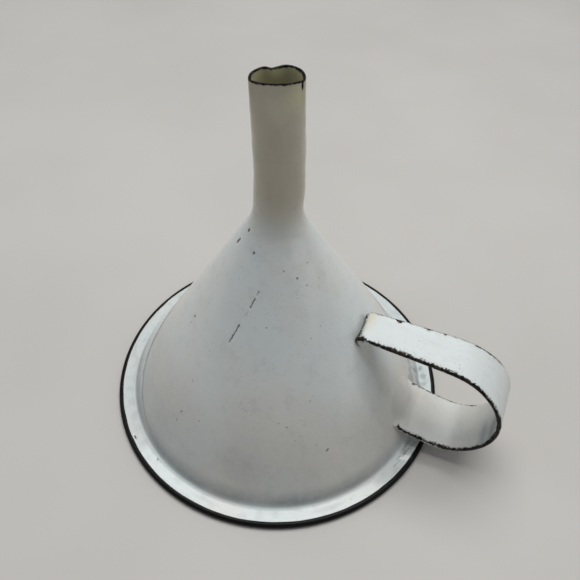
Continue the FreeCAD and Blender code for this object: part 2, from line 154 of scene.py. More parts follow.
def ripple(points, wavelength, seed):
    """A smooth random field of about -1 to 1, from a few plane waves."""
    random = np.random.default_rng(seed)
    waves = 8
    total = np.zeros(points.shape[:-1])
    for _ in range(waves):
        direction = random.normal(size=3)
        direction *= 2 * math.pi / np.linalg.norm(direction) / (wavelength * random.uniform(0.7, 1.5))
        total += np.sin(points @ direction + random.uniform(0, 2 * math.pi))
    return total / math.sqrt(waves)


def ripples(points, *parts):
    """A sum of ripples, each given as its size, wavelength and seed."""
    return sum(size * ripple(points, wavelength, seed) for size, wavelength, seed in parts)


def level(points):
    """The points brought down to height 0, for ripples that are the same at every height."""
    return points * [1, 1, 0]


def outwards(points):
    """Level directions from the axis to each point, of length 1."""
    return points[..., :2] / np.linalg.norm(points[..., :2], axis=-1, keepdims=True)


def azimuth_of(points):
    return np.degrees(np.arctan2(points[..., 1], points[..., 0]))


def turned(profile, columns):
    """The grid made by turning a profile of (radius, height) points about the axis."""
    angles = np.linspace(0, 2 * math.pi, columns, endpoint=False)
    radius, height = profile[:, 0][:, None], profile[:, 1][:, None]
    flat = np.ones_like(angles)[None, :]
    return np.stack([radius * np.cos(angles), radius * np.sin(angles), height * flat], axis=-1)


# Meshes

SHARP_ANGLE = 38


def side_quads(index, closed_columns):
    """Quads between neighbours in a grid whose rows wrap round, and its columns if closed."""
    ahead = np.roll(index, -1, axis=0)
    if closed_columns:
        here, above = index, ahead
        beside, diagonal = np.roll(index, -1, axis=1), np.roll(ahead, -1, axis=1)
    else:
        here, above = index[:, :-1], ahead[:, :-1]
        beside, diagonal = index[:, 1:], ahead[:, 1:]
    return np.stack([here, above, diagonal, beside], axis=-1).reshape(-1, 4).tolist()


def cap_quads(index):
    """Quads that fill the rings at both ends of a grid, between its first and last rows inwards."""
    quads = []
    for ring, flip in ((index[:, 0], False), (index[:, -1], True)):
        for i in range(len(ring) // 2 - 1):
            cap = [ring[i], ring[-1 - i], ring[-2 - i], ring[i + 1]]
            quads.append([int(corner) for corner in (reversed(cap) if flip else cap)])
    return quads


def facing_out(corners, quads):
    """The quads, all turned over if they enclose a negative volume."""
    centre = corners.mean(axis=0)
    a, b, c, d = (corners[corner] - centre for corner in np.array(quads).T)
    volume = (np.cross(b - a, c - a) * a).sum() + (np.cross(c - a, d - a) * a).sum()
    return [quad[::-1] for quad in quads] if volume < 0 else quads


def grid_mesh(name, points, fields, closed_columns):
    """A closed mesh from a grid of points in millimetres, with a value per point for each field.

    The grid's rows wrap round. Its columns wrap too, or else both ends are capped."""
    index = np.arange(points[..., 0].size).reshape(points.shape[:2])
    quads = side_quads(index, closed_columns)
    if not closed_columns:
        quads += cap_quads(index)
    corners = points.reshape(-1, 3)
    mesh = bpy.data.meshes.new(name)
    mesh.from_pydata((corners * MM).tolist(), [], facing_out(corners, quads))
    mesh.polygons.foreach_set("use_smooth", [True] * len(quads))
    for field, values in fields.items():
        attribute = mesh.attributes.new(field, "FLOAT", "POINT")
        attribute.data.foreach_set("value", np.asarray(values, np.float32).ravel())
    mesh.set_sharp_from_angle(angle=math.radians(SHARP_ANGLE))
    mesh.update()
    piece = bpy.data.objects.new(name, mesh)
    bpy.context.scene.collection.objects.link(piece)
    return piece


def replace_node(node, name, points, fields, closed_columns=True):
    """The mesh of a piece that takes a CAD node's place.

    The fields are trim, a grey field and stain: how far each point is past the black, how grey its
    white is, from dirt and from painted shade, and how stained it is."""
    piece = grid_mesh(name, points, fields, closed_columns)
    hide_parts(node)
    return piece


CLEAR = 9.0            # a trim that no ripple brings back to the black


# The sheet's stray from the true shape


def sheet_wave(points):
    """How far the spun sheet strays from round, in millimetres, outwards."""
    free = smooth(points[..., 2], FLANGE, FLANGE + 12)
    return free * ripples(points, (0.10, 42, 1), (0.035, 13, 2))


def stray(points):
    """Move points outwards by the sheet's wave, and bow the lower half of the spout."""
    bow = band(points[..., 2], NECK - 8, NECK + 3, NECK + 12, TIP - 3)
    swell, sideways = 0.20, np.array([0.42, 0.19])
    moved = points.copy()
    moved[..., :2] += outwards(points) * (sheet_wave(points) + swell * bow)[..., None]
    moved[..., :2] += bow[..., None] * sideways
    return moved


# Chips, scratches and faint pits in the enamel, as (azimuth, height) on the cone and
# (azimuth, radius) on the flange: both ends, and the width. A pit has one place only.

CONE_CHIPS = [
    ((-132.3, 81.6), (-131.9, 81.3), 0.90),
    ((-141.5, 77.1), (-142.7, 75.8), 0.85),
    ((-103.0, 77.5), (-102.4, 77.3), 0.72),
    ((-136.6, 48.2), (-137.0, 47.6), 0.55),
    ((-112.9, 21.7), (-113.2, 21.4), 0.52),
    ((-44.5, 19.0), (-45.2, 18.6), 0.52),
]
CONE_SCRATCHES = [
    ((-84.6, 68.0), (-85.7, 67.0), 0.34),
    ((-87.0, 65.8), (-89.6, 63.0), 0.38),
    ((-91.0, 61.6), (-92.6, 60.2), 0.12),
    ((-95.6, 57.0), (-99.4, 51.2), 0.50),
    ((150.0, 40.0), (157.0, 31.0), 0.15),
]
FLANGE_CHIPS = [
    ((-113.8, 58.4), (-114.0, 58.4), 0.55),
    ((-125.6, 60.9), (-126.6, 60.9), 0.60),
    ((-21.0, 59.3), (-17.5, 59.6), 0.22),
    ((-18.0, 58.7), (-13.0, 59.0), 0.26),
    ((-15.5, 59.5), (-9.5, 59.8), 0.28),
    ((-13.0, 58.2), (-8.5, 58.4), 0.24),
    ((-12.0, 60.3), (-8.0, 60.5), 0.20),
    ((95.0, 59.6), (96.0, 59.7), 0.50),
]
CONE_PITS = [
    ((-58.0, 74.0), 0.62),
    ((-24.5, 74.3), 0.42),
    ((-34.3, 68.6), 0.62),
    ((-137.3, 45.0), 0.70),
    ((-135.7, 36.1), 0.35),
    ((-74.1, 58.4), 0.62),
    ((-32.2, 56.1), 0.42),
    ((-41.8, 53.9), 0.42),
    ((-113.8, 33.1), 0.62),
    ((-113.6, 18.0), 0.62),
    ((-102.6, 23.3), 0.55),
    ((-49.1, 35.7), 0.50),
    ((-65.1, 30.1), 0.55),
    ((-61.5, 28.8), 0.62),
    ((-58.2, 24.2), 0.42),
    ((-48.9, 21.5), 0.42),
    ((-33.9, 19.2), 0.42),
    ((-3.2, 10.8), 0.55),
]
CHIP_DEPTH = 0.12
CHIP_SLOPE = 0.35      # width of the slope round a chip's floor


def around_axis(azimuth, radius, height):
    """A place round the axis, in metres."""
    turn = math.radians(azimuth)
    return Vector((radius * math.cos(turn), radius * math.sin(turn), height)) * MM


def on_cone(azimuth, height):
    return around_axis(azimuth, cone_radius(height), height)


def on_flange(azimuth, radius):
    return around_axis(azimuth, radius, FLANGE)


def mark(surface, start, end, width):
    """A mark as (start, end, half width), in metres. surface is on_cone or on_flange."""
    return surface(*start), surface(*end), width / 2 * MM


def deep_marks():
    """Chips and scratches that bare the steel."""
    cone = [mark(on_cone, *given) for given in CONE_CHIPS + CONE_SCRATCHES]
    return cone + [mark(on_flange, *given) for given in FLANGE_CHIPS]


def faint_marks():
    """Pits that only dull the enamel."""
    return [mark(on_cone, place, place, width) for place, width in CONE_PITS]


def mark_depth(points, marks, depth):
    """How far chips sink the surface at each point, in millimetres."""
    sink = np.zeros(points.shape[:-1])
    for start, end, half_width in marks:
        start, end, half_width = np.array(start) / MM, np.array(end) / MM, half_width / MM
        along = end - start
        share = np.clip(((points - start) @ along) / max(along @ along, 1e-9), 0, 1)
        distance = np.linalg.norm(points - start - share[..., None] * along, axis=-1)
        rise = smooth(distance, half_width * 0.6, half_width + CHIP_SLOPE)
        sink = np.maximum(sink, depth * (1 - rise))
    return sink


# Bowl

COLUMNS = 368          # round the bowl and the weld that follows its waves
WALL_ANGLE = 180 + HALF_ANGLE    # from the centre of a bend to where it meets the wall
CURL_END = 180 + CURL_GAP
BLACK_STARTS = 0.35    # how far round the bead, from the flange, its black begins
NECK_CENTRE = (SPOUT_OUTER + NECK_BEND, cone_height(SPOUT_OUTER + NECK_BEND, NECK_BEND))
FOOT_CENTRE = (cone_radius(FLANGE + FOOT_FILLET, FOOT_FILLET), FLANGE + FOOT_FILLET)


def weld_edge(side):
    """The weld's corners at the outer face and the bore, below it (side -1) or above it (1)."""
    return (SPOUT_OUTER, NECK + side * WELD_FACE / 2), (SPOUT_INNER, NECK + side * WELD_ROOT / 2)


def bead_angle(radius, height):
    """Where a circle round the wire reaches a height, on the flange's side."""
    return 180 - math.degrees(math.asin((height - BEAD_CENTRE[1]) / radius))


def bowl_outside():
    """From the weld's root down the outside, and over the flange to the bead."""
    face_end, root_end = weld_edge(-1)
    wall_start = polar(NECK_CENTRE, NECK_BEND, WALL_ANGLE)
    wall_end = polar(FOOT_CENTRE, FOOT_FILLET, WALL_ANGLE)
    bead_start = polar(BEAD_CENTRE, BEAD, bead_angle(BEAD, FLANGE))
    return (
        line(root_end, face_end, 0.4)
        + line(face_end, (SPOUT_OUTER, NECK_CENTRE[1]), 0.6)
        + arc(NECK_CENTRE, NECK_BEND, 180, WALL_ANGLE, 0.6)
        + line(wall_start, wall_end, 0.66)
        + arc(FOOT_CENTRE, FOOT_FILLET, WALL_ANGLE, 270, 0.4)
        + line((FOOT_CENTRE[0], FLANGE), bead_start, 0.4)
    )


def bowl_bead():
    """Round the bead from the flange to the curl's end, with a flat where it rests."""
    flat = math.degrees(math.acos(BEAD_CENTRE[1] / BEAD))
    flat_start, flat_end = flat - 90, 270 - flat
    return (
        arc(BEAD_CENTRE, BEAD, bead_angle(BEAD, FLANGE), flat_start, 0.22)
        + line(polar(BEAD_CENTRE, BEAD, flat_start), polar(BEAD_CENTRE, BEAD, flat_end), 0.4)
        + arc(BEAD_CENTRE, BEAD, flat_end, CURL_END, 0.22)
    )


def bowl_inside():
    """From the curl's end round the wire, under the flange and up the inside to the weld."""
    wire_exit = bead_angle(WIRE, FLANGE - SHEET)
    wall_start = polar(FOOT_CENTRE, FOOT_FILLET + SHEET, WALL_ANGLE)
    wall_end = polar(NECK_CENTRE, NECK_BEND + SHEET, WALL_ANGLE)
    root_end = weld_edge(-1)[1]
    return (
        line(polar(BEAD_CENTRE, BEAD, CURL_END), polar(BEAD_CENTRE, WIRE, CURL_END), 0.4)
        + arc(BEAD_CENTRE, WIRE, CURL_END - 360, wire_exit, 0.4)
        + line(polar(BEAD_CENTRE, WIRE, wire_exit), (FOOT_CENTRE[0], FLANGE - SHEET), 1.0)
        + arc(FOOT_CENTRE, FOOT_FILLET + SHEET, 270, WALL_ANGLE, 0.9)
        + line(wall_start, wall_end, 2.4)
        + arc(NECK_CENTRE, NECK_BEND + SHEET, WALL_ANGLE, 180, 0.9)
        + line((SPOUT_INNER, NECK_CENTRE[1]), root_end, 0.8)
    )


def bowl_profile():
    """The closed outline of the bowl's sheet, each point's distance past the black, and how many
    points come before the bead."""
    outside, bead, inside = bowl_outside(), bowl_bead(), bowl_inside()
    profile = np.array(outside + bead + inside)
    from_flange = np.linalg.norm(profile - bead[0], axis=1)
    from_curl_end = np.linalg.norm(profile - inside[0], axis=1)
    past_black = np.minimum(from_flange, from_curl_end)
    past_black[len(outside):len(outside) + len(bead)] *= -1
    return profile, past_black + BLACK_STARTS, len(outside)


def sink_chips(points):
    """Sink the chips into the outside, square to the cone's wall."""
    sink = mark_depth(points, deep_marks(), CHIP_DEPTH)
    slope = math.radians(HALF_ANGLE)
    moved = points.copy()
    moved[..., :2] -= outwards(points) * (sink * math.cos(slope))[..., None]
    moved[..., 2] -= sink * math.sin(slope)
    return moved


def cone_shade_and_streaks(points):
    """Painted shade over the bend at the cone's foot, grey darkening low on the cone, and grey streaks
    behind the handle.
    """
    height, azimuth = points[..., 2], azimuth_of(points)
    uneven = 1 + 0.12 * ripple(points, 24, 31)
    # painted shade in the bend where the cone's wall meets the flange
    foot = 0.50 * band(height, FLANGE + 0.1, FLANGE + 0.8, 3, 9) * uneven
    # darker low on the cone
    low = 0.40 * band(height, FLANGE + 0.2, FLANGE + 2, 8, 44) * uneven
    beside_handle = 1 - 0.9 * bell(azimuth, 0, 17)
    behind_handle = band(azimuth, 6, 12, 26, 34) * (height < 12)
    streaks = 0.45 * behind_handle * smooth(ripple(level(points), 4, 32), 0.1, 0.9)
    return (foot + low) * beside_handle + streaks


def flange_soot(points):
    """Dirt on the flange, brushed round it in streaks, the most near the handle."""
    squeeze = 12       # how much closer the streaks lie across the flange than along it
    radius = np.linalg.norm(points[..., :2], axis=-1)
    brushed = np.stack([points[..., 0], points[..., 1], squeeze * radius], axis=-1)
    near_handle = 0.3 + 0.7 * bell(azimuth_of(points), -20, 24)
    dirt = 0.04 + 0.16 * smooth(ripple(level(points), 5, 33), 0.2, 1.2)
    dirt = dirt + 0.40 * near_handle * smooth(ripple(brushed, 22, 34), 0.1, 1.3)
    return dirt * (points[..., 2] < FLANGE + 0.1)


def build_bowl():
    """The bowl's sheet with its waves, and the pits of its chips."""
    profile, past_black, outside_rows = bowl_profile()
    points = turned(profile, COLUMNS)
    trim = past_black[:, None] + ripples(level(points), (0.05, 9, 3), (0.02, 2.5, 4))
    dirt_and_shade = np.clip(cone_shade_and_streaks(points) + flange_soot(points), 0, 1)
    dirt_and_shade[outside_rows:] = 0
    moved = stray(points)
    moved[:outside_rows] = sink_chips(moved[:outside_rows])
    fields = {"trim": trim, "dirt_and_shade": dirt_and_shade, "stain": np.zeros_like(trim)}
    return replace_node("bowl", "bowl_sheet", moved, fields)


# Spout

SPOUT_COLUMNS = 200
MOUTH_FACING = -65.0   # azimuth of the side of the mouth that is pressed flat
MOUTH_DEPTH = 15.0     # how far down from the tip the mouth is out of round
NEAR_PRESS = 0.46      # share of its distance by which the flat side is pressed in
FAR_PRESS = 0.04       # and the far side
FAR_HALF_PRESS = 0.12  # and, on top of that, the half of the far side that has the nick
NICK_PLACE = -1.2      # of the nick, from the middle of the far side
NICK_DEPTH = 2.2
NICK_WIDTHS = 1.5, 2.7    # on its outer side and towards the middle
LIP_DROOP = 0.15       # how far the worn lip sags at most
LIP_BLACK = 0.30       # how far the lip's black reaches down the outside
BORE_BLACK = 0.42      # and down the bore
RUN_AZIMUTH = -8       # of a run of black down from the lip


def dent_mouth(points):
    """Press the mouth out of round: flat on one side, with a nick in the far side."""
    share = smooth(points[..., 2], TIP - MOUTH_DEPTH, TIP) ** 1.4
    across = polar((0, 0), 1, MOUTH_FACING + 90)
    away = np.array([-across[1], across[0]])
    side, depth = points[..., :2] @ across, points[..., :2] @ away
    near = NEAR_PRESS * smooth(-depth, 0, 5)
    far = smooth(depth, 0, 5) * (FAR_PRESS + FAR_HALF_PRESS * smooth(-side, 0, 4))
    nick_width = np.where(side < NICK_PLACE, *NICK_WIDTHS)
    nick = NICK_DEPTH * smooth(depth, 1, 4) * bell(side, NICK_PLACE, nick_width)
    pressed = depth * (1 - share * (near + far)) - share * nick
    moved = points.copy()
    moved[..., :2] = side[..., None] * across + pressed[..., None] * away
    droop = LIP_DROOP * share * (0.5 + 0.5 * ripple(level(points), 9, 11))
    moved[..., 2] -= np.clip(droop, 0, 1)
    return moved


def lean(points):
    """The spout leans a little, more towards its tip."""
    share = np.clip((points[..., 2] - NECK) / (TIP - NECK), 0, 1)[..., None]
    return points + share * np.array([0.05, 0.02, 0])


def tube_wave(points):
    """Shallow flats and dents down the spout."""
    free = smooth(points[..., 2], NECK + 1, NECK + 8)
    wave = 0.10 * ripple(points * [1, 1, 0.4], 11, 5) + 0.03 * ripple(points, 5, 6)
    moved = points.copy()
    moved[..., :2] += outwards(points) * (free * wave)[..., None]
    return moved


def spout_profile():
    """The closed outline of the tube with its rounded lip, and how many points are outside."""
    lip = SHEET / 2
    middle = (SPOUT_INNER + SPOUT_OUTER) / 2
    face_end, root_end = weld_edge(1)
    outside = line(face_end, (SPOUT_OUTER, TIP - lip), 0.45)
    over = arc((middle, TIP - lip), lip, 0, 180, 0.12)
    bore = line((SPOUT_INNER, TIP - lip), root_end, 0.6)
    foot = line(root_end, face_end, 0.4)
    return np.array(outside + over + bore + foot), len(outside) + len(over) // 2


def spout_trim(points, drop, inner):
    """Distance past the lip's black, with a short run of it down the outside."""
    edge = np.where(inner, drop - BORE_BLACK, drop - LIP_BLACK)
    ragged = ripples(points, (0.16, 6, 7), (0.06, 2.2, 8))
    beside_run = (azimuth_of(points) - RUN_AZIMUTH) * math.radians(1) * SPOUT_OUTER
    run = np.hypot(beside_run / 0.6, (drop - 1.0) / 1.7) - 0.75
    return np.minimum(edge + ragged, np.where(inner, CLEAR, run + 0.4 * ragged))


def spout_stain(points, drop, inner):
    """Olive in the bore, and in a patch below the lip outside."""
    cloudy = 0.65 + 0.35 * ripple(points, 5, 12)
    patch = 0.75 * bell(azimuth_of(points), -18, 34) * bell(drop, 3.2, 3.0)
    return np.clip(np.where(inner, cloudy, patch), 0, 1) * (1 - smooth(drop, 12, 30))


def build_spout():
    """The tube with a rounded, worn lip and a mouth bent out of round."""
    profile, outside_rows = spout_profile()
    points = turned(profile, SPOUT_COLUMNS)
    drop = (TIP - profile[:, 1])[:, None]
    inner = (np.arange(len(profile)) >= outside_rows)[:, None]
    trim = spout_trim(points, drop, inner)
    stain = spout_stain(points, drop, inner)
    fields = {"trim": trim, "dirt_and_shade": np.zeros_like(trim), "stain": stain}
    moved = lean(dent_mouth(tube_wave(stray(points))))
    return replace_node("spout", "spout_tube", moved, fields)


def build_neck_ring():
    """The weld between neck and spout, flush with both."""
    low_face, low_root = weld_edge(-1)
    high_face, high_root = weld_edge(1)
    corners = [low_face, high_face, high_root, low_root]
    sides = zip(corners, corners[1:] + corners[:1])
    profile = np.array([point for start, end in sides for point in line(start, end, 0.4)])
    points = turned(profile, COLUMNS)
    none = np.zeros(points.shape[:2])
    fields = {"trim": none + CLEAR, "dirt_and_shade": none, "stain": none}
    return replace_node("neck_weld", "neck_ring", stray(points), fields)


# Handle

STRAP_STEP = 0.4
FACE_POINTS = 27       # across each face of the strap
EDGE_POINTS = 9        # round each edge
TOP_DRAWN_IN = 1.0     # how much each side of the upper tab is drawn in, and its corners' radius
TOP_CORNER = 2.5
LOW_DRAWN_IN = 1.2     # the same for the lower tab
LOW_CORNER = 5.5
BACK_NICKS = [         # in the back edge's black: place on the run, length, depth
    (8.6, 1.1, 1.6),
    (18.4, 0.9, 0.9),
    (24.0, 0.7, 0.6),
]


def lower_centre(foot, centre):
    """Centre of the tighter bend, which touches the wide bend and the lower run."""
    along = polar((0, 0), 1, -LOWER_SLOPE)
    above = polar(foot, LOWER_BEND, 90 - LOWER_SLOPE)
    away = np.array(centre) - above
    ahead = away @ along
    gap = HANDLE_BEND - LOWER_BEND
    return above + along * (ahead + math.sqrt(gap**2 - (away @ away - ahead**2)))


def strap_stretches(step):
    """The strap's middle line in stretches, from the upper tab's end round to the lower tab's."""
    half = STRAP / 2
    foot = np.array([cone_radius(FOOT_HEIGHT), FOOT_HEIGHT])
    centre = np.array([HANDLE_REACH - HANDLE_BEND, HANDLE_HEIGHT - HANDLE_BEND])
    lower = lower_centre(foot, centre)
    turn_over = math.degrees(math.atan2(lower[1] - centre[1], lower[0] - centre[0]))

    fold_height = HANDLE_HEIGHT - TOP_TURN
    fold = (cone_radius(fold_height, half + TOP_TURN), fold_height)
    tab_end_height = HANDLE_HEIGHT - TOP_TAB - half
    tab_end = (cone_radius(tab_end_height, half), tab_end_height)

    together = math.radians(LOWER_SLOPE + HALF_ANGLE)
    reach = (half + FOOT_TURN * (1 - math.sin(together))) / math.cos(together)
    run_end = polar(foot, reach, -LOWER_SLOPE)
    sweep = polar(run_end, FOOT_TURN, 90 - LOWER_SLOPE)
    low_tab_height = FOOT_HEIGHT + LOW_TAB + half
    low_tab_end = (cone_radius(low_tab_height, half), low_tab_height)

    return {
        "upper_tab": line(tab_end, polar(fold, TOP_TURN, WALL_ANGLE), step),
        "fold": arc(fold, TOP_TURN, WALL_ANGLE, 90, step / 2),
        "run": line(polar(fold, TOP_TURN, 90), (centre[0], HANDLE_HEIGHT), step),
        "over": arc(centre, HANDLE_BEND, 90, turn_over, step),
        "under": arc(lower, LOWER_BEND, turn_over, -90 - LOWER_SLOPE, step),
        "lower_run": line(polar(lower, LOWER_BEND, -90 - LOWER_SLOPE), run_end, step),
        "sweep": arc(sweep, FOOT_TURN, -90 - LOWER_SLOPE, WALL_ANGLE - 360, step),
        "lower_tab": line(polar(sweep, FOOT_TURN, WALL_ANGLE), low_tab_end, step),
    }


class Strap:
    """The strap's middle line: its points, the distance along it, and where stretches start."""

    def __init__(self, step):
        stretches = strap_stretches(step)
        self.path = np.array([point for stretch in stretches.values() for point in stretch])
        steps = np.linalg.norm(np.diff(self.path, axis=0), axis=1)
        self.travel = np.concatenate([[0], np.cumsum(steps)])
        self.starts, count = {}, 0
        for name, stretch in stretches.items():
            self.starts[name] = self.travel[count]
            count += len(stretch)
        self.starts["end"] = self.travel[-1]

    def past(self, stretch):
        """Distance past the start of a stretch, negative before it."""
        return self.travel - self.starts[stretch]

    def before(self, stretch):
        return self.starts[stretch] - self.travel

    def length(self, first, last):
        """Distance from the start of one stretch to the start of another."""
        return self.starts[last] - self.starts[first]


def ease(path, body, window=19):
    """Even out the path's bends over a window of points, where body is 1."""
    reach = window // 2
    padded = np.pad(path, ((reach, reach), (0, 0)), mode="edge")
    weights = np.ones(window) / window
    even = np.stack([np.convolve(padded[:, i], weights, "valid") for i in range(2)], axis=1)
    return path + (even - path) * body[:, None]


def eased_path(strap):
    """The middle line with its bends evened out between the feet, and the way out of the loop."""
    body = smooth(strap.past("run"), 5, 12) * smooth(strap.before("sweep"), 3, 8)
    path = ease(ease(strap.path, body), body)
    tangent = np.gradient(path, axis=0)
    tangent /= np.linalg.norm(tangent, axis=1, keepdims=True)
    return path, np.stack([-tangent[:, 1], tangent[:, 0]], axis=1)


def rounded_corner(distance, radius):
    """How far a rounded corner cuts into the strap's width at a distance from its end."""
    short = np.clip(radius - distance, 0, radius)
    return radius - np.sqrt(radius**2 - short**2)


def strap_half_width(strap):
    """Half the strap's width along its line, with the tabs drawn in and their corners rounded."""
    taper = np.clip(strap.past("run") / strap.length("run", "sweep"), 0, 1)
    half_width = (TOP_WIDTH + (BOTTOM_WIDTH - TOP_WIDTH) * taper) / 2
    upper = 1 - smooth(strap.travel, 0, strap.starts["run"])
    lower = 1 - smooth(strap.before("end"), 0, strap.length("sweep", "end"))
    half_width -= TOP_DRAWN_IN * upper + rounded_corner(strap.travel, TOP_CORNER)
    half_width -= LOW_DRAWN_IN * lower + rounded_corner(strap.before("end"), LOW_CORNER)
    return half_width + 0.12 * ripple(strap.travel[:, None] * [1, 0, 0], 17, 20)


def strap_half_thickness(strap):
    """Half the strap's thickness along its line, thinned where its ends melt into the enamel."""
    upper = 0.45 + 0.55 * smooth(strap.travel, 0, 2)
    lower = 0.06 + 0.94 * smooth(strap.before("end"), 0.2, 10)
    return STRAP / 2 * lower * upper


def section_rows():
    """One turn round the strap's section, a row of points each: how far across the flat it
    lies (-1 to 1), and how far out and up the rounded edge is at that point (-1 to 1)."""
    shares = np.linspace(-1, 1, FACE_POINTS)
    crowding = 1.35    # above 1, the points crowd towards the edges
    shares = np.sign(shares) * (1 - (1 - np.abs(shares)) ** crowding)
    bends = np.radians(np.linspace(90, -90, EDGE_POINTS))
    rows = []
    for face in (1, -1):
        rows += [(share * face, 0, face) for share in shares[:-1]]
        rows += [(face, face * math.cos(bend), face * math.sin(bend)) for bend in bends[:-1]]
    return np.array(rows).T[:, :, None]


def strap_up(strap, across, lift, half_width, half_thick, tab, body):
    """How far each point stands off the middle line. Free of the cone the strap has raised
    edges and a slight twist. On it, the strap lies flat, and the lower tab thins to its sides."""
    reach = np.abs(across) / half_width
    raised = 0.10 * smooth(reach, 0.55, 0.95) - 0.05
    unrolled = np.stack([strap.travel * np.ones_like(across), across, across * 0], axis=-1)
    free = half_thick * lift + body * (lift * raised + 0.10 * ripple(unrolled, 19, 21))
    lens = 1 - 0.97 * smooth(strap.past("sweep"), -1, 2) * smooth(reach, 0.35, 1)
    laid = STRAP / 2 - half_thick * (1 - lift) * lens
    return free * (1 - tab) + laid * tab


def wrap_round_cone(x, y, z):
    """How far to bring each point in, so that the strap's width follows the cone near it."""
    follows, lets_go = 1.2, 3.5
    near_cone = np.exp(-np.clip(x - cone_radius(z) - follows, 0, None) / lets_go)
    wrapped = np.sqrt(np.maximum(x**2 - y**2, 1))
    return near_cone * (x - wrapped)


def build_handle():
    """The strap handle: rounded edges, slightly raised, with its ends laid on the cone."""
    strap = Strap(STRAP_STEP)
    path, out = eased_path(strap)
    half_width, half_thick = strap_half_width(strap), strap_half_thickness(strap)
    tab = 1 - smooth(strap.travel, strap.starts["fold"], strap.starts["run"])
    tab = tab + smooth(strap.travel, strap.starts["sweep"] + 1, strap.starts["lower_tab"] + 1)
    body = smooth(strap.past("run"), 0, 6) * smooth(strap.before("sweep"), -2, 6)

    flat, bulge, lift = section_rows()
    across = flat * (half_width - half_thick) + bulge * half_thick
    up = strap_up(strap, across, lift, half_width, half_thick, tab, body)
    plane = path[None] + up[..., None] * out[None]
    x, y, z = plane[..., 0], across, plane[..., 1]
    sunk = 0.15 * tab + 0.05 * body
    points = np.stack([x - wrap_round_cone(x, y, z) - sunk, y, z], axis=-1)

    ragged = ripples(points, (0.16, 4.5, 22), (0.13, 1.3, 23))
    edges = edge_trim(strap, across, up, half_width, ragged)
    fold = fold_trim(strap, across, lift, half_width, ragged)
    fields = {
        "trim": np.minimum(edges, fold),
        "dirt_and_shade": strap_inner_grey_and_shade(strap, across, lift),
        "stain": strap_stain(strap, across),
    }
    return replace_node("handle_strap", "handle_strip", points, fields, False)


def edge_trim(strap, across, up, half_width, ragged):
    """Distance past the black along the strap's edges, which ends at both feet.

    It lies on the outer face at the top, and crosses to the inner one as the strap turns over."""
    turn = smooth(strap.past("over"), -8, 22) + smooth(strap.past("lower_run"), -16, -2)
    from_edge = np.clip(half_width - np.abs(across), 0, None)
    round_edge = up + from_edge * np.where(up > 0, 1, -1)
    front = across < 0
    front_centre = 0.72 * (1 - turn)
    back_centre = 0.82 * (1 - 2 * smooth(turn, 0.85, 1.15))

    front_width = 0.58 + 0.50 * (1 - np.abs(turn - 1))
    front_width = front_width + 0.42 * smooth(strap.past("run"), 2, 12) * (1 - smooth(turn, 0.2, 0.9))
    back_width = 0.36 + 0.5 * band(turn, 0.1, 0.5, 1.0, 1.4) + 0.16 * smooth(turn, 1, 2)
    for place, length, depth in BACK_NICKS:
        back_width = back_width + depth * bell(strap.past("run"), place, length)

    from_centre = np.abs(round_edge - np.where(front, front_centre, back_centre))
    edges = from_centre - np.where(front, front_width, back_width)
    edges = edges + ragged * np.where(front, 1, 0.4)
    return np.maximum(edges, np.maximum(strap.before("fold"), strap.past("sweep") - 4.5))


def fold_trim(strap, across, lift, half_width, ragged):
    """Distance past the black of the upper foot: its crevice, and the fold's front corner."""
    past_run = strap.past("run")
    to_front = smooth(-across, 1, 5.5)
    crevice = past_run + strap.length("fold", "run") * (0.42 - 0.12 * to_front) + 0.5 * ragged
    corner = np.hypot(past_run + 0.6, (half_width + across) * 0.9) - 1.3 + ragged
    return np.minimum(np.where(lift > 0, crevice, CLEAR), corner)


def strap_inner_grey_and_shade(strap, across, lift):
    """A grey patch inside the loop, where the strap turns back, and painted shade over the loop's
    whole inner face.
    """
    inner_face = np.clip(-lift, 0, 1)
    bend_patch = bell(strap.past("under"), -17, 3.2) + 0.5 * bell(strap.past("under"), -10.5, 2.2)
    bend_patch = 1.2 * inner_face * smooth(-across, -3, 4) * bend_patch
    # the 0.16 over the whole inner face is painted shade
    return np.clip(bend_patch + 0.16 * inner_face, 0, 1)


def strap_stain(strap, across):
    """Cream where the upper fold meets the cone, strongest at its back corner."""
    return 0.7 * bell(strap.past("run"), -0.4, 1.5) * smooth(across, -6, 4)


# Materials


